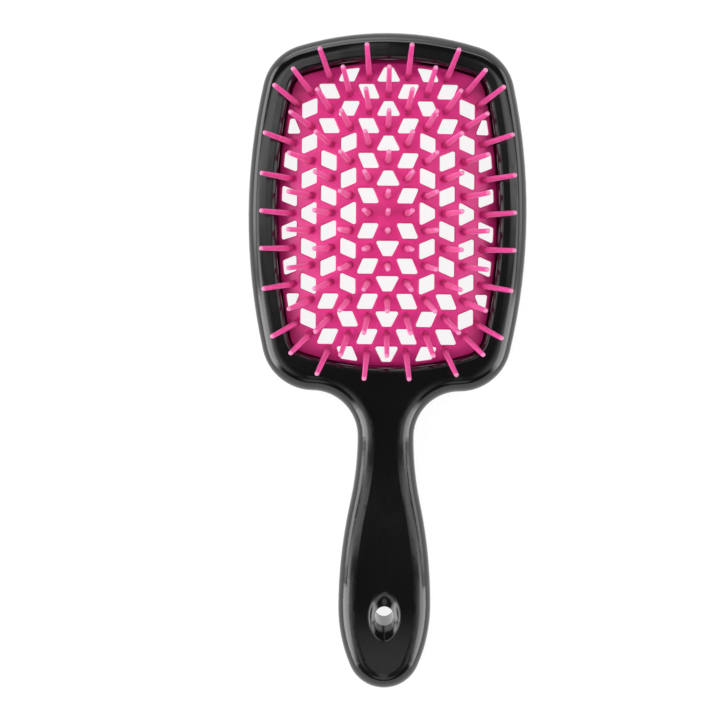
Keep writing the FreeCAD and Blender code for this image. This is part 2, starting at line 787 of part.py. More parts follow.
def check(nodes):
    """Stops where an object failed, or a sub-part's shape is empty or not valid."""
    doc.recompute()
    for thing in doc.Objects:
        if "Invalid" in thing.State or "Error" in thing.State:
            raise RuntimeError(f"{thing.Name} failed: {thing.State}")
    for node in nodes:
        if node.Shape.isNull() or not node.Shape.isValid():
            raise RuntimeError(f"{node.Label} has no valid shape")
        print(node.Label, len(node.Shape.Solids), "solids,", round(node.Shape.Volume), "cubic mm")


seats = pin_seats()
nodes = [front_shell(), back_shell(), pad_net(seats), *pin_groups(seats)]
check(nodes)
os.makedirs("parts", exist_ok=True)
for node in nodes:
    node.Shape.exportStep(f"parts/{node.Label}.step")
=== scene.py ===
import math

import bpy
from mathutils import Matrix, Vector
from mathutils.geometry import delaunay_2d_cdt


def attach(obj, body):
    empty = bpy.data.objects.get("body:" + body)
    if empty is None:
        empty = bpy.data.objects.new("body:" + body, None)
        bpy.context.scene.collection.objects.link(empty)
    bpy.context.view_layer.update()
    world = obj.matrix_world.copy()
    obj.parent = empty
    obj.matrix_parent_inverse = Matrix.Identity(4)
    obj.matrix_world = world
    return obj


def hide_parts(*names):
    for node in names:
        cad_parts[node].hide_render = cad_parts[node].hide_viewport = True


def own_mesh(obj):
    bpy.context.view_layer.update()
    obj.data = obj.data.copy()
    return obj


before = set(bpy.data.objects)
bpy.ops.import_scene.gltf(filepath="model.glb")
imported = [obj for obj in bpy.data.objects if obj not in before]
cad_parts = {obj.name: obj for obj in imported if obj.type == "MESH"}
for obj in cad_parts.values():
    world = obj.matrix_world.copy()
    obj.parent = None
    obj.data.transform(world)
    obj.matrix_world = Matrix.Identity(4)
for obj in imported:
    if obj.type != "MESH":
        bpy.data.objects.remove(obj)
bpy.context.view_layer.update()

# Detangling brush: the shells' finish, a finer net and finer pins in place of the plain ones, and a studio.
# Sizes of the brush and the camera are in millimetres, in the solids' frame. The studio's are in metres.
MM = 0.001

# The head's opening, and the dome over it
HEAD_MIDDLE = 47.9
HALF_WIDTH = 36.5
HALF_LENGTH = 50.4
SIDE_BOW = 190.8
END_BOW = 90.8
CORNER = 7.8
RIM_LEVEL = 7.8
DOME_HEIGHT = 9.2
PARABOLA_ACROSS_SHARE = 0.8
PARABOLA_ALONG_SHARE = 0.6
ARC_POINTS = {"side": 14, "corner": 8, "end": 12}

# The net, its holes and its flange under the shells
SLOPE_STEP = 0.1
NET_THICKNESS = 2.0
NET_INSET = 0.3
HOLE_INSET = 1.7
COLUMN_PITCH = 6.45
ROW_PITCH = 5.74
HOLE_EDGE = 5.2
HOLE_HEIGHT = 4.95
HOLE_LEAN = 2.1
WIDE_EDGE = 8.0
NARROW_EDGE = 2.9
HOLE_CORNER = 0.6
HOLE_ROUND = 0.5
CORNER_POINTS = 6
CORNER_EDGE_SHARE = 0.45
EDGE_PARTS = 3
ROUND_STEPS = 4
SHORTEST_EDGE = 0.9
FLANGE_REACH = 1.9
FLANGE_TOP = 7.75
FLANGE_BOTTOM = 6.05
FILL_PITCH = 1.5
FILL_CLEARANCE = 0.45
MERGE_DISTANCE = 1e-6
LAST_UPRIGHT_ROWS = {1: 0, 2: 4, 3: 3, 4: 6, 5: 3}
HOLE_OVERHANG_SHARE = 0.2
PIN_OVERHANG_SHARE = 0.4
SITE_BORDER = 3.306
CORNER_SLIDE_SHARE = 0.8

# Pins: how their lean starts, grows and is lost, the bands that sink together, and the outline of one pin
LEAN_ACROSS_SHARES = (0.39, 0.30, 0.13)
LEAN_ALONG_SHARES = (0.21, 0.41, 0.06)
# Body of each band, and the share of the dome's height above which its pins stand
BANDS = {
    "pins_crown": ("crown_pins", 0.86),
    "pins_ring_1": ("ring_1_pins", 0.71),
    "pins_ring_2": ("ring_2_pins", 0.58),
    "pins_ring_3": ("ring_3_pins", 0.44),
    "pins_ring_4": ("ring_4_pins", 0.30),
    "pins_ring_5": ("ring_5_pins", 0.0),
}
PIN_LENGTH = 18.5
PIN_TIP = 0.77
PIN_SIDES = 18
TIP_STEPS = 6
# Height above the net and radius, from the hidden foot up to the shaft
PIN_FOOT = [(-0.9, 1.5), (-0.1, 1.3), (0.25, 1.18), (0.6, 1.08), (1.1, 1.0), (1.9, 0.95), (3.2, 0.92)]
# Name of the attribute with the share of the way up a pin, and where the painted shade at its foot and the
# painted highlight at its tip start and end
HEIGHT_ATTRIBUTE = "height_share"
FOOT_SHADE_SHARES = (0.0, 0.15)
TIP_HIGHLIGHT_SHARES = (0.94, 1.0)
# Pit in the net on the inner side of each leaning pin's foot
PIT_DEPTH = 1.1
PIT_RADIUS = 1.4
PIT_OFFSET = 1.4
PIT_FULL_LEAN_SHARE = 0.25
PIT_RING_SHARES = {0.35: 8, 0.65: 12, 1.0: 16}

# The ring's tight inner lip, which is sunk into the shell's softer one
RING_LEVEL = 14.0
LIP_ROUND = 1.6
LIP_REACH = 3.2
LIP_LIFT = 0.004
LIP_SINK = 0.1
LIP_FOOT_LEVEL = 11.3
LIP_STEPS = 8


# Shape of the dome
def fall(share, parabola_share):
    """Height left at a share of the way from the dome's middle to its edge."""
    return 1 - parabola_share * share**2 - (1 - parabola_share) * share**4


def dome_share(x, y):
    """Height of the dome over its rim as a share of its full height, about the head's middle."""
    return fall(x / HALF_WIDTH, PARABOLA_ACROSS_SHARE) * fall(y / HALF_LENGTH, PARABOLA_ALONG_SHARE)


def dome(x, y):
    """Level of the net's upper face."""
    return RIM_LEVEL + DOME_HEIGHT * dome_share(x, y)


def surface_normal(level, x, y):
    """Way that a face looks whose level is given at each place."""
    slope_x = (level(x + SLOPE_STEP, y) - level(x - SLOPE_STEP, y)) / (2 * SLOPE_STEP)
    slope_y = (level(x, y + SLOPE_STEP) - level(x, y - SLOPE_STEP)) / (2 * SLOPE_STEP)
    return Vector((-slope_x, -slope_y, 1)).normalized()


# Outlines as points with their outward normals
def opening_outline():
    """The opening's outline, of tangent arcs, about the head's middle and turning left."""
    side = Vector((HALF_WIDTH - SIDE_BOW, 0))
    end = Vector((0, HALF_LENGTH - END_BOW))
    way = side - end
    along = (way.length_squared + (END_BOW - CORNER) ** 2 - (SIDE_BOW - CORNER) ** 2) / (2 * way.length)
    aside = math.sqrt((END_BOW - CORNER) ** 2 - along**2)
    way.normalize()
    corner = end + way * along + Vector((way.y, -way.x)) * aside
    side_turn = math.atan2(corner.y - side.y, corner.x - side.x)
    end_turn = math.atan2(corner.y - end.y, corner.x - end.x)
    arcs = [
        (side, SIDE_BOW, 0, side_turn, ARC_POINTS["side"]),
        (corner, CORNER, side_turn, end_turn, ARC_POINTS["corner"]),
        (end, END_BOW, end_turn, math.pi / 2, ARC_POINTS["end"]),
    ]
    quarter = []
    for centre, radius, start, stop, count in arcs:
        for k in range(count):
            turn = start + (stop - start) * k / count
            normal = Vector((math.cos(turn), math.sin(turn)))
            quarter.append((centre + normal * radius, normal))
    quarter.append((Vector((0, HALF_LENGTH)), Vector((0, 1))))

    def mirrored(points, flip_x, flip_y):
        return [tuple(Vector((v.x * flip_x, v.y * flip_y)) for v in pair) for pair in points]

    back = quarter[::-1]
    parts = [quarter, mirrored(back, -1, 1), mirrored(quarter, -1, -1), mirrored(back, 1, -1)]
    return [pair for part in parts for pair in part[:-1]]


def grown(outline, distance):
    """Points of an outline moved out along their normals."""
    return [point + normal * distance for point, normal in outline]


def clipped(corners, fence):
    """A polygon kept inside a convex fence that turns left, without very short edges."""
    kept = corners
    for k, start in enumerate(fence):
        way = fence[(k + 1) % len(fence)] - start
        inside = [way.cross(point - start) for point in kept]
        if min(inside) >= 0:
            continue
        cut = []
        for j, point in enumerate(kept):
            here, there = inside[j], inside[(j + 1) % len(kept)]
            if here >= 0:
                cut.append(point)
            if here * there < 0:
                cut.append(point.lerp(kept[(j + 1) % len(kept)], here / (here - there)))
        kept = cut
    return [point for j, point in enumerate(kept) if (point - kept[j - 1]).length > SHORTEST_EDGE]


def rounded_outline(corners, radius):
    """Outline of a polygon that turns left, with rounded corners and divided edges."""
    count = len(corners)
    outline = []
    for k, corner in enumerate(corners):
        before = corners[k - 1] - corner
        after = corners[(k + 1) % count] - corner
        half_angle = before.angle(after) / 2
        room = min(before.length, after.length) * CORNER_EDGE_SHARE
        step = min(radius / math.tan(half_angle), room)
        inward = (before.normalized() + after.normalized()).normalized()
        arc_radius = step * math.tan(half_angle)
        centre = corner + inward * math.hypot(step, arc_radius)
        first = Vector((-before.y, before.x)).normalized()
        turn = math.pi - 2 * half_angle
        start = math.atan2(first.y, first.x)
        for j in range(CORNER_POINTS):
            angle = start + turn * j / (CORNER_POINTS - 1)
            normal = Vector((math.cos(angle), math.sin(angle)))
            outline.append((centre + normal * arc_radius, normal))
    whole = []
    for k, (point, normal) in enumerate(outline):
        whole.append((point, normal))
        following, following_normal = outline[(k + 1) % len(outline)]
        if (k + 1) % CORNER_POINTS == 0:
            for part in range(1, EDGE_PARTS):
                whole.append((point.lerp(following, part / EDGE_PARTS), following_normal))
    return whole


# Sites of the holes and pins
def border_x(y):
    """Furthest site across, at a place along the head."""
    return HALF_WIDTH - y**2 / (2 * SIDE_BOW) - SITE_BORDER


def border_y(x):
    """Furthest site along, at a place across the head."""
    return HALF_LENGTH - x**2 / (2 * END_BOW) - SITE_BORDER


def sites(want_hole, overhang_share):
    """Column, row, x and y of each hole, or of each pin. They take turns, and the middle site is a pin."""
    found = []
    last_column = math.ceil(HALF_WIDTH / COLUMN_PITCH)
    last_row = math.ceil(HALF_LENGTH / ROW_PITCH)
    for column in range(-last_column, last_column + 1):
        for row in range(-last_row, last_row + 1):
            x, y = column * COLUMN_PITCH, row * ROW_PITCH
            fits = abs(x) <= border_x(y) + overhang_share * COLUMN_PITCH
            fits = fits and abs(y) <= border_y(x) + overhang_share * ROW_PITCH
            is_hole = (column + row) % 2 == 0 and (column, row) != (0, 0)
            if fits and is_hole == want_hole:
                found.append((column, row, x, y))
    return found


def hole_corners(column, row, x, y):
    """Corners of one hole, turning left: a trapezoid on the middle lines, elsewhere a rhombus."""
    half_edge = HOLE_EDGE / 2
    half_height = HOLE_HEIGHT / 2
    lean = HOLE_LEAN / 2
    if column == 0 or row == 0:
        wide = WIDE_EDGE / 2
        narrow = NARROW_EDGE / 2
        corners = [(-narrow, half_height), (narrow, half_height), (wide, -half_height), (-wide, -half_height)]
        flip_x = -1 if column < 0 else 1
    else:
        top = [(-half_edge - lean, half_height), (half_edge - lean, half_height)]
        corners = top + [(half_edge + lean, -half_height), (-half_edge + lean, -half_height)]
        flip_x = 1 if (column < 0) == (column % 2 == 1) else -1
    flip_y = -1 if row < 0 else 1
    if row == 0 or abs(row) <= LAST_UPRIGHT_ROWS.get(abs(column), 0):
        corners = [(b, a) for a, b in corners]
    placed = [Vector((x + a * flip_x, y + b * flip_y)) for a, b in corners]
    area = sum(placed[k - 1].cross(placed[k]) for k in range(len(placed)))
    return placed if area > 0 else placed[::-1]


# Meshes
def make_object(name, points, faces, normals=None):
    """Smooth mesh object from points in millimetres."""
    mesh = bpy.data.meshes.new(name)
    mesh.from_pydata([point * MM for point in points], [], faces)
    mesh.validate()
    mesh.shade_smooth()
    if normals:
        mesh.normals_split_custom_set_from_vertices(normals)
    made = bpy.data.objects.new(name, mesh)
    bpy.context.collection.objects.link(made)
    return made


def inside_loop(point, loop):
    """Whether a point lies in a closed loop."""
    inside = False
    for k, b in enumerate(loop):
        a = loop[k - 1]
        if (a.y > point.y) != (b.y > point.y):
            if point.x < a.x + (b.x - a.x) * (point.y - a.y) / (b.y - a.y):
                inside = not inside
    return inside


class HeadBuilder:
    """Gathers points, normals and faces of the net or the lip, about the head's middle."""

    def __init__(self, pits=()):
        self.pits = pits
        self.points = []
        self.normals = []
        self.faces = []

    def add(self, x, y, z, normal):
        self.points.append(Vector((x, HEAD_MIDDLE + y, z)))
        self.normals.append(normal)
        return len(self.points) - 1

    def bridge(self, first, second, flip):
        """Faces between two loops of as many points."""
        for k in range(len(first)):
            face = [first[k - 1], first[k], second[k], second[k - 1]]
            self.faces.append(face[::-1] if flip else face)

    def pitted(self, x, y):
        """Level of the upper face with its pits."""
        level = dome(x, y)
        for pit in self.pits:
            away = math.hypot(x - pit.x, y - pit.y) / PIT_RADIUS
            if away < 1:
                level -= PIT_DEPTH * (1 - away**2) ** 2
        return level

    def face(self, points, depth, side):
        """Points of the upper face with side 1, or of the lower face, at a depth under it, with side -1."""
        level = self.pitted if side > 0 else dome
        for p in points:
            self.add(p.x, p.y, level(p.x, p.y) - depth, surface_normal(level, p.x, p.y) * side)

    def round_loop(self, outline, turn, side):
        """A loop in a hole's rounded edge, from the face at turn 0 to the wall at a quarter turn."""
        loop = []
        for point, normal in outline:
            place = point + normal * HOLE_ROUND * (1 - math.sin(turn))
            sunk = HOLE_ROUND * (1 - math.cos(turn))
            depth = sunk if side > 0 else NET_THICKNESS - sunk
            level = dome(place.x, place.y) - depth
            look = surface_normal(dome, place.x, place.y) * side * math.cos(turn)
            look -= normal.to_3d() * math.sin(turn)
            loop.append(self.add(place.x, place.y, level, look.normalized()))
        return loop


def fill_points(edge, holes, pits):
    """Points spread over the net's face and in rings over its pits, clear of its edge and holes."""
    boxes = []
    for hole in holes:
        xs = [p.x for p in hole]
        ys = [p.y for p in hole]
        boxes.append((min(xs), max(xs), min(ys), max(ys)))

    def clear_of_holes(point):
        for hole, (low_x, high_x, low_y, high_y) in zip(holes, boxes):
            near_x = low_x - FILL_CLEARANCE < point.x < high_x + FILL_CLEARANCE
            near_y = low_y - FILL_CLEARANCE < point.y < high_y + FILL_CLEARANCE
            if near_x and near_y:
                close = min((p - point).length for p in hole) < FILL_CLEARANCE
                if close or inside_loop(point, hole):
                    return False
        return True

    def clear(point):
        within = inside_loop(point, edge) and min((p - point).length for p in edge) > FILL_CLEARANCE
        return within and clear_of_holes(point)

    found = []
    columns = int(HALF_WIDTH / FILL_PITCH)
    rows = int(HALF_LENGTH / FILL_PITCH)
    for column in range(-columns, columns + 1):
        for row in range(-rows, rows + 1):
            point = Vector(((column + (row % 2) / 2) * FILL_PITCH, row * FILL_PITCH))
            in_pit = any((pit - point).length < PIT_RADIUS + FILL_CLEARANCE for pit in pits)
            if not in_pit and clear(point):
                found.append(point)
    for pit in pits:
        rings = [(0, 1), *PIT_RING_SHARES.items()]
        for radius_share, count in rings:
            for k in range(count):
                angle = 2 * math.pi * k / count
                point = pit + Vector((math.cos(angle), math.sin(angle))) * PIT_RADIUS * radius_share
                if clear(point):
                    found.append(point)
    return found


def build_net():
    """The domed net: rounded holes, an upper and a lower face, and the flange that the shells hold."""
    pits = []
    for _, foot, lean in pin_seats():
        slant = Vector((lean.x, lean.y))
        offset = PIT_OFFSET * min(1, slant.length / PIT_FULL_LEAN_SHARE)
        if offset > 0:
            pits.append(Vector((foot.x, foot.y - HEAD_MIDDLE)) - slant.normalized() * offset)
    builder = HeadBuilder(pits)
    opening = opening_outline()
    fence = grown(opening, -HOLE_INSET)
    outlines = []
    for site in sites(True, HOLE_OVERHANG_SHARE):
        outlines.append(rounded_outline(clipped(hole_corners(*site), fence), HOLE_CORNER))
    edge = grown(opening, -NET_INSET - HOLE_ROUND)
    mouths = [grown(outline, HOLE_ROUND) for outline in outlines]
    loops = [edge, *mouths]
    flat = [point for loop in loops for point in loop] + fill_points(edge, mouths, pits)
    constraints = []
    start = 0
    for loop in loops:
        constraints += [(start + k, start + (k + 1) % len(loop)) for k in range(len(loop))]
        start += len(loop)
    # the triangles between the net's edge and its holes
    flat, _, triangles, _, _, _ = delaunay_2d_cdt(flat, constraints, [], 1, MERGE_DISTANCE)
    kept = []
    for triangle in triangles:
        middle = sum((flat[k] for k in triangle), Vector((0, 0))) / len(triangle)
        if not any(inside_loop(middle, mouth) for mouth in mouths):
            kept.append(triangle)
    for side, depth in ((1, 0), (-1, NET_THICKNESS)):
        first = len(builder.points)
        builder.face(flat, depth, side)
        builder.faces += [[first + k for k in face[::side]] for face in kept]
    lower = len(flat)
    # the holes' walls
    start = len(edge)
    for outline in outlines:
        upper_loop = [start + k for k in range(len(outline))]
        lower_loop = [lower + k for k in upper_loop]
        loops = [upper_loop]
        turns = [math.pi / 2 * k / ROUND_STEPS for k in range(1, ROUND_STEPS + 1)]
        loops += [builder.round_loop(outline, turn, 1) for turn in turns]
        loops += [builder.round_loop(outline, turn, -1) for turn in turns[::-1]]
        loops.append(lower_loop)
        for k in range(len(loops) - 1):
            builder.bridge(loops[k], loops[k + 1], False)
        start += len(outline)
    # the flange: distance out from the opening, and highest level
    rim = [(-NET_INSET, math.inf), (-NET_INSET, FLANGE_TOP), (FLANGE_REACH, FLANGE_TOP)]
    rim.append((FLANGE_REACH, FLANGE_BOTTOM))
    loops = [list(range(len(edge)))]
    for growth, level in rim:
        loop = []
        for point, normal in opening:
            place = point + normal * growth
            top = dome(place.x, place.y) - HOLE_ROUND
            loop.append(builder.add(place.x, place.y, min(top, level), normal.to_3d()))
        loops.append(loop)
    loops.append([lower + k for k in range(len(edge))])
    for k in range(len(loops) - 1):
        builder.bridge(loops[k], loops[k + 1], True)
    return make_object("domed_net", builder.points, builder.faces, builder.normals)


def build_lip():
    """The lip as a closed bead: flat on the ring, rounded into the opening, and hidden in the shell below."""
    top = RING_LEVEL + LIP_LIFT
    # distance out from the opening, level, and turn of the normal from upright to the opening's middle
    profile = [(LIP_REACH, RING_LEVEL - LIP_SINK, 0), (LIP_REACH - LIP_SINK, top, 0)]
    for k in range(LIP_STEPS + 1):
        turn = math.pi / 2 * k / LIP_STEPS
        profile.append((LIP_ROUND * (1 - math.sin(turn)), top - LIP_ROUND * (1 - math.cos(turn)), turn))
    profile += [(0, LIP_FOOT_LEVEL, math.pi / 2), (LIP_SINK, LIP_FOOT_LEVEL, math.pi)]
    builder = HeadBuilder()
    loops = []
    for distance, level, turn in profile:
        loop = []
        for point, normal in opening_outline():
            place = point + normal * distance
            look = Vector((0, 0, math.cos(turn))) - normal.to_3d() * math.sin(turn)
            loop.append(builder.add(place.x, place.y, level, look))
        loops.append(loop)
    for k in range(len(loops)):
        builder.bridge(loops[k - 1], loops[k], False)
    return make_object("ring_lip", builder.points, builder.faces, builder.normals)


def pin_seats():
    """Height share, foot and lean of each pin."""
    seats = []
    for _, _, x, y in sites(False, PIN_OVERHANG_SHARE):
        held_in = max(0, abs(x) - border_x(y))
        x = math.copysign(abs(x) - held_in, x)
        y = math.copysign(min(abs(y) + held_in * CORNER_SLIDE_SHARE, border_y(x)), y)
        across = x / HALF_WIDTH
        along = y / HALF_LENGTH
        start, growth, loss = LEAN_ACROSS_SHARES
        lean_x = across * (start + growth * across**2 - loss * along**2)
        start, growth, loss = LEAN_ALONG_SHARES
        lean_y = along * (start + growth * along**2 - loss * across**2)
        foot = Vector((x, HEAD_MIDDLE + y, dome(x, y)))
        seats.append((dome_share(x, y), foot, Vector((lean_x, lean_y, 1)).normalized()))
    return seats


def pin_profile():
    """Height and radius up one pin: its flared foot, its shaft and its round tip."""
    shoulder = PIN_LENGTH - PIN_TIP
    profile = [*PIN_FOOT]
    for k in range(TIP_STEPS):
        turn = math.pi / 2 * k / TIP_STEPS
        profile.append((shoulder + PIN_TIP * math.sin(turn), PIN_TIP * math.cos(turn)))
    return profile


def build_pins(name, seats):
    """The pins of one height band in one mesh, which keeps each point's share of the way up its pin."""
    points = []
    faces = []
    shares = []
    profile = pin_profile()
    for foot, lean in seats:
        turn = lean.to_track_quat("Z", "Y")
        first = len(points)
        for height, radius in profile:
            for k in range(PIN_SIDES):
                angle = 2 * math.pi * k / PIN_SIDES
                around = Vector((math.cos(angle) * radius, math.sin(angle) * radius, height))
                points.append(foot + turn @ around)
                shares.append(height / PIN_LENGTH)
        for ring in range(len(profile) - 1):
            low = first + ring * PIN_SIDES
            for k in range(PIN_SIDES):
                following = (k + 1) % PIN_SIDES
                high = low + PIN_SIDES
                faces.append([low + k, low + following, high + following, high + k])
        tip = len(points)
        points.append(foot + turn @ Vector((0, 0, PIN_LENGTH)))
        points.append(foot + turn @ Vector((0, 0, profile[0][0])))
        shares += [1, 0]
        last = tip - PIN_SIDES
        for k in range(PIN_SIDES):
            following = (k + 1) % PIN_SIDES
            faces.append([last + k, last + following, tip])
            faces.append([first + following, first + k, tip + 1])
    made = make_object(name, points, faces)
    made.data.attributes.new(HEIGHT_ATTRIBUTE, "FLOAT", "POINT").data.foreach_set("value", shares)
    return made


# Materials: waves per metre and detail of each texture, the two ends of each tint and roughness,
# and the strength and depth in metres of each bump
TINT_STOP_SHARES = (0.3, 0.7)
PINK_CLOUD = (140, 4.0)
PINK_GRAIN = (2600, 2.0)
PINK_POLISH = (0.3, 0.46)
PINK_BUMP = (0.08, 0.00006)
GLOW_SHARE = 0.15
GLOW_RADII = (1.0, 0.25, 0.4)
GLOW_REACH = 0.0016
NET_TINTS = [(0.77, 0.028, 0.265), (0.87, 0.04, 0.31)]
PIN_TINTS = [(0.9, 0.075, 0.38), (0.96, 0.1, 0.44)]
# Painted shade: the colour that darkens each pin's foot where it meets the net
PAINTED_FOOT_SHADE = (0.5, 0.012, 0.15)
PAINTED_FOOT_SHADE_SHARE = 0.85
# Painted highlight: the paler colour at each pin's rounded tip
PAINTED_TIP_HIGHLIGHT = (0.97, 0.4, 0.62)
PAINTED_TIP_HIGHLIGHT_SHARE = 0.7
PIN_SHEEN_SHARE = 0.35
PIN_SHEEN_ROUGHNESS = 0.4
PIN_SHEEN_TINT = (1.0, 0.75, 0.86, 1.0)
BLACK_TINTS = [(0.0024, 0.0024, 0.0026), (0.004, 0.004, 0.0043)]
BLACK_CLOUD = (45, 5.0)
BLACK_CLOUD_POLISH = (0.07, 0.12)
BLACK_SCUFFS = (1500, 2.0)
BLACK_SCUFF_POLISH = (0, 0.06)
SCUFF_STRETCH_SHARES = (1.0, 0.06, 1.0)
SCUFF_TURN = 0.35
BLACK_WAVES = (70, 2.0)
BLACK_BUMP = (0.1, 0.0006)
BLACK_IOR = 1.6


def new_material(name):
    """A material with its node tree and its shader."""
    made = bpy.data.materials.new(name)
    made.use_nodes = True
    return made, made.node_tree, made.node_tree.nodes["Principled BSDF"]


def add_node(tree, kind, values=None, **settings):
    """A node with its settings and unlinked inputs."""
    made = tree.nodes.new(kind)
    for key, value in settings.items():
        setattr(made, key, value)
    for key, value in (values or {}).items():
        made.inputs[key].default_value = value
    return made


def noise(tree, place, scale, detail):
    """Factor of a noise texture, with its scale in waves per metre."""
    made = add_node(tree, "ShaderNodeTexNoise", {"Scale": scale, "Detail": detail})
    tree.links.new(place, made.inputs["Vector"])
    return made.outputs["Fac"]


def tinted(tree, shader, source, tints):
    """Base colour between two tints, from a texture's factor."""
    made = add_node(tree, "ShaderNodeValToRGB")
    for element, place, tint in zip(made.color_ramp.elements, TINT_STOP_SHARES, tints):
        element.position = place
        element.color = (*tint, 1)
    tree.links.new(source, made.inputs["Fac"])
    tree.links.new(made.outputs["Color"], shader.inputs["Base Color"])


def spread(tree, source, low, high):
    """A factor spread over another range."""
    made = add_node(tree, "ShaderNodeMapRange", {"To Min": low, "To Max": high})
    tree.links.new(source, made.inputs["Value"])
    return made.outputs["Result"]


def bumped(tree, shader, source, strength, distance):
    """Bump from a texture's factor."""
    made = add_node(tree, "ShaderNodeBump", {"Strength": strength, "Distance": distance})
    tree.links.new(source, made.inputs["Height"])
    tree.links.new(made.outputs["Normal"], shader.inputs["Normal"])


def pink_plastic(name, tints):
    """Soft satin plastic with a cloudy tint, a fine moulded grain and some light passing through."""
    made, tree, shader = new_material(name)
    place = add_node(tree, "ShaderNodeTexCoord").outputs["Object"]
    tinted(tree, shader, noise(tree, place, *PINK_CLOUD), tints)
    grain = noise(tree, place, *PINK_GRAIN)
    tree.links.new(spread(tree, grain, *PINK_POLISH), shader.inputs["Roughness"])
    bumped(tree, shader, grain, *PINK_BUMP)
    shader.inputs["Subsurface Weight"].default_value = GLOW_SHARE
    shader.inputs["Subsurface Radius"].default_value = GLOW_RADII
    shader.inputs["Subsurface Scale"].default_value = GLOW_REACH
    return made


def paint_light_by_height(finish, shares, colour, strengths):
    """Painted light on a pin, shade at its foot or highlight at its tip, blended into its own colour between
    two shares of the way up it.
    """
    tree = finish.node_tree
    shader = tree.nodes["Principled BSDF"]
    height = add_node(tree, "ShaderNodeAttribute", attribute_name=HEIGHT_ATTRIBUTE)
    limits = dict(zip(("From Min", "From Max", "To Min", "To Max"), (*shares, *strengths)))
    amount = add_node(tree, "ShaderNodeMapRange", limits, interpolation_type="SMOOTHSTEP")
    tree.links.new(height.outputs["Fac"], amount.inputs["Value"])
    blend = add_node(tree, "ShaderNodeMixRGB", {"Color2": (*colour, 1)})
    tree.links.new(amount.outputs["Result"], blend.inputs["Fac"])
    tree.links.new(shader.inputs["Base Color"].links[0].from_socket, blend.inputs["Color1"])
    tree.links.new(blend.outputs["Color"], shader.inputs["Base Color"])


def black_plastic():
    """Polished black moulding with a faint waviness, cloudy polish and hairline scuffs."""
    made, tree, shader = new_material("polished_black_plastic")
    place = add_node(tree, "ShaderNodeTexCoord").outputs["Object"]
    cloud = noise(tree, place, *BLACK_CLOUD)
    tinted(tree, shader, cloud, BLACK_TINTS)
    stretch = {"Scale": SCUFF_STRETCH_SHARES, "Rotation": (0, 0, SCUFF_TURN)}
    stretched = add_node(tree, "ShaderNodeMapping", stretch)
    tree.links.new(place, stretched.inputs["Vector"])
    scuffs = noise(tree, stretched.outputs["Vector"], *BLACK_SCUFFS)
    polish = add_node(tree, "ShaderNodeMath", operation="ADD")
    tree.links.new(spread(tree, scuffs, *BLACK_SCUFF_POLISH), polish.inputs[0])
    tree.links.new(spread(tree, cloud, *BLACK_CLOUD_POLISH), polish.inputs[1])
    tree.links.new(polish.outputs["Value"], shader.inputs["Roughness"])
    bumped(tree, shader, noise(tree, place, *BLACK_WAVES), *BLACK_BUMP)
    shader.inputs["IOR"].default_value = BLACK_IOR
    return made


# The brush
shell_finish = black_plastic()
for shell in ("front_shell", "back_shell"):
    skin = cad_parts[shell].data.materials
    skin.clear()
    skin.append(shell_finish)

lip = build_lip()
lip.data.materials.append(shell_finish)
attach(lip, "handle")

net_finish = pink_plastic("pink_net_plastic", NET_TINTS)
net = build_net()
net.data.materials.append(net_finish)
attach(net, "handle")
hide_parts("pad_net")
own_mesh(net)

pin_finish = pink_plastic("pink_pin_plastic", PIN_TINTS)
pin_shader = pin_finish.node_tree.nodes["Principled BSDF"]
pin_shader.inputs["Sheen Weight"].default_value = PIN_SHEEN_SHARE
pin_shader.inputs["Sheen Roughness"].default_value = PIN_SHEEN_ROUGHNESS
pin_shader.inputs["Sheen Tint"].default_value = PIN_SHEEN_TINT
# Painted shade darkens each pin's foot, and a painted highlight pales its tip
paint_light_by_height(pin_finish, FOOT_SHADE_SHARES, PAINTED_FOOT_SHADE, (PAINTED_FOOT_SHADE_SHARE, 0))
paint_light_by_height(pin_finish, TIP_HIGHLIGHT_SHARES, PAINTED_TIP_HIGHLIGHT, (0, PAINTED_TIP_HIGHLIGHT_SHARE))
banded = {name: [] for name in BANDS}
for share, foot, lean in pin_seats():
    name = next(band for band, (_, lowest) in BANDS.items() if share > lowest)
    banded[name].append((foot, lean))
for name, seats in banded.items():
    pins = build_pins(f"{name}_fine", seats)
    pins.data.materials.append(pin_finish)
    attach(pins, BANDS[name][0])
    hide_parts(name)

# The studio: a pale floor that turns up into a round wall, open to a dim ceiling
WALL_RADIUS = 1.7
WALL_TURN = 0.35
WALL_HEIGHT = 0.62
WALL_SIDES = 96
WALL_STEPS = 10
FLOOR_GLOW = 0.88
FLOOR_COLOUR = (0.22, 0.22, 0.22, 1)
FLOOR_ROUGHNESS = 0.9
WHITE = (1, 1, 1, 1)
LAMP_MIDDLE_SHARE = 0.5


def build_studio():
    """Floor and wall in one turned sheet."""
    profile = []
    for k in range(WALL_STEPS + 1):
        turn = math.pi / 2 * k / WALL_STEPS
        level = WALL_TURN * (1 - math.cos(turn))
        profile.append((WALL_RADIUS - WALL_TURN + WALL_TURN * math.sin(turn), level))
    profile.append((WALL_RADIUS, WALL_HEIGHT))
    points = [Vector((0, 0, 0))]
    faces = []
    for radius, level in profile:
        for k in range(WALL_SIDES):
            angle = 2 * math.pi * k / WALL_SIDES
            points.append(Vector((math.cos(angle) * radius, math.sin(angle) * radius, level)))
    for k in range(WALL_SIDES):
        following = (k + 1) % WALL_SIDES
        faces.append([0, 1 + k, 1 + following])
        for ring in range(len(profile) - 1):
            low = 1 + ring * WALL_SIDES
            high = low + WALL_SIDES
            faces.append([low + k, high + k, high + following, low + following])
    return make_object("studio_floor", [point / MM for point in points], faces)


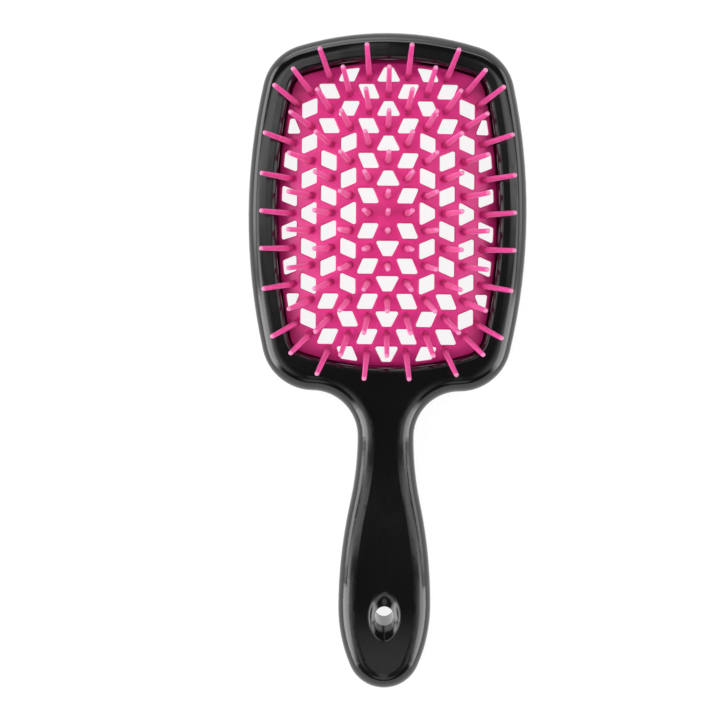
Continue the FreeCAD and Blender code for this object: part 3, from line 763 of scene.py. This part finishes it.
def studio_material():
    """Pale paper that looks white to the camera and in reflections, and still takes the brush's shadow."""
    made, tree, shader = new_material("studio_paper")
    shader.inputs["Base Color"].default_value = FLOOR_COLOUR
    shader.inputs["Roughness"].default_value = FLOOR_ROUGHNESS
    shader.inputs["Specular IOR Level"].default_value = 0
    glow = add_node(tree, "ShaderNodeEmission", {"Color": WHITE})
    rays = add_node(tree, "ShaderNodeLightPath")
    seen = add_node(tree, "ShaderNodeMath", operation="MAXIMUM")
    tree.links.new(rays.outputs["Is Camera Ray"], seen.inputs[0])
    tree.links.new(rays.outputs["Is Glossy Ray"], seen.inputs[1])
    also = add_node(tree, "ShaderNodeMath", operation="MAXIMUM")
    tree.links.new(seen.outputs["Value"], also.inputs[0])
    tree.links.new(rays.outputs["Is Transmission Ray"], also.inputs[1])
    level = add_node(tree, "ShaderNodeMath", {1: FLOOR_GLOW}, operation="MULTIPLY")
    tree.links.new(also.outputs["Value"], level.inputs[0])
    tree.links.new(level.outputs["Value"], glow.inputs["Strength"])
    both = add_node(tree, "ShaderNodeAddShader")
    tree.links.new(shader.outputs["BSDF"], both.inputs[0])
    tree.links.new(glow.outputs["Emission"], both.inputs[1])
    tree.links.new(both.outputs["Shader"], tree.nodes["Material Output"].inputs["Surface"])
    return made


def softbox(name, place, target, width, height, level, fade_shares):
    """A lamp with a given brightness in a mirror. It fades over shares of the way in from its edges."""
    lamp = bpy.data.lights.new(name, "AREA")
    lamp.shape = "RECTANGLE"
    lamp.size = width
    lamp.size_y = height
    lamp.energy = level * math.pi * width * height
    lamp.use_nodes = True
    tree = lamp.node_tree
    cloth = add_node(tree, "ShaderNodeNewGeometry")
    axes = add_node(tree, "ShaderNodeSeparateXYZ")
    tree.links.new(cloth.outputs["Parametric"], axes.inputs["Vector"])
    fade = add_node(tree, "ShaderNodeMath", operation="MULTIPLY")
    for k, (axis, fade_share) in enumerate(zip("XY", fade_shares)):
        inward = add_node(tree, "ShaderNodeMath", {1: LAMP_MIDDLE_SHARE}, operation="PINGPONG")
        tree.links.new(axes.outputs[axis], inward.inputs[0])
        reach = {"From Max": fade_share * LAMP_MIDDLE_SHARE}
        rise = add_node(tree, "ShaderNodeMapRange", reach, interpolation_type="SMOOTHSTEP")
        tree.links.new(inward.outputs["Value"], rise.inputs["Value"])
        tree.links.new(rise.outputs["Result"], fade.inputs[k])
    tree.links.new(fade.outputs["Value"], tree.nodes["Emission"].inputs["Strength"])
    made = bpy.data.objects.new(name, lamp)
    bpy.context.collection.objects.link(made)
    made.location = place
    made.rotation_euler = (Vector(target) - Vector(place)).to_track_quat("-Z", "Y").to_euler()
    made.visible_camera = False


studio = build_studio()
studio.data.materials.append(studio_material())

# Large soft lamps make one even reflection on each side of the brush. The ceiling between them stays dim.
CEILING = 1.15
CEILING_COLOUR = (0.05, 0.05, 0.053, 1)
LAMP_DISTANCE = 1.25
# Middle, width and length of each lamp on the ceiling, its brightness and the shares over which it fades
CEILING_LAMPS = {
    "left_above": ((-1.118, 0.28), 2.15, 0.6, 1.7, (0.02, 0.8)),
    "left_above_top": ((-0.037, 0.68), 0.05, 0.98, 1.4, (0.3, 0.1)),
    "left_above_grip": ((-0.85, -0.4), 1.5, 1.5, 1.2, (1.0, 0.8)),
    "right_above": ((1.1, 0.28), 2.2, 0.66, 1.7, (0.5, 0.8)),
    "right_above_ring": ((0.17, 0.28), 0.2, 0.56, 0.4, (0.4, 0.6)),
    "right_above_grip": ((0.85, -0.4), 1.5, 1.5, 1.0, (1.0, 0.8)),
    "low_above": ((0, -1.2), 1.1, 1.8, 0.75, (0.5, 0.3)),
    "far_above": ((0, 2.05), 3.4, 0.9, 3.2, (0.3, 0.6)),
}
# Place, width and height of each upright lamp, its brightness and the shares over which it fades.
# The lamps reach below the floor, so that they don't fade where they meet it.
UPRIGHT_LAMPS = {
    "left_by_head": ((-LAMP_DISTANCE, 0.6, -0.02), 1.4, 1.36, 3.0, (0.3, 0.25)),
    "left_by_grip": ((-LAMP_DISTANCE, -0.45, 0.35), 1.5, 2.4, 4.7, (0.65, 0.55)),
    "right_by_head": ((LAMP_DISTANCE, 0.6, -0.02), 1.4, 1.36, 1.7, (0.3, 0.3)),
    "right_by_grip": ((LAMP_DISTANCE, -0.45, 0.35), 1.5, 2.4, 3.9, (0.65, 0.55)),
    "behind_head": ((-0.45, LAMP_DISTANCE, 0.1), 1.7, 1.6, 2.0, (0.7, 0.9)),
}
for name, ((x, y), *cloth) in CEILING_LAMPS.items():
    softbox(name, (x, y, CEILING), (x, y, 0), *cloth)
for name, ((x, y, z), *cloth) in UPRIGHT_LAMPS.items():
    target = (x, 0, z) if name == "behind_head" else (0, y, z)
    softbox(name, (x, y, z), target, *cloth)

world = bpy.data.worlds.new("dim_ceiling")
world.use_nodes = True
world.node_tree.nodes["Background"].inputs["Color"].default_value = CEILING_COLOUR
bpy.context.scene.world = world

# The camera, straight above the brush as in the photo
CAMERA_PLACE = (-8.65, 0.82, 931.0)
CAMERA_TURN = 0.494
SENSOR_WIDTH = 36.0
LENS = 140.4
camera = bpy.data.objects.new("camera", bpy.data.cameras.new("camera"))
camera.data.sensor_width = SENSOR_WIDTH
camera.data.lens = LENS
camera.location = Vector(CAMERA_PLACE) * MM
camera.rotation_euler = (0, 0, math.radians(CAMERA_TURN))
bpy.context.collection.objects.link(camera)
bpy.context.scene.camera = camera
bpy.context.scene.view_settings.view_transform = "Standard"
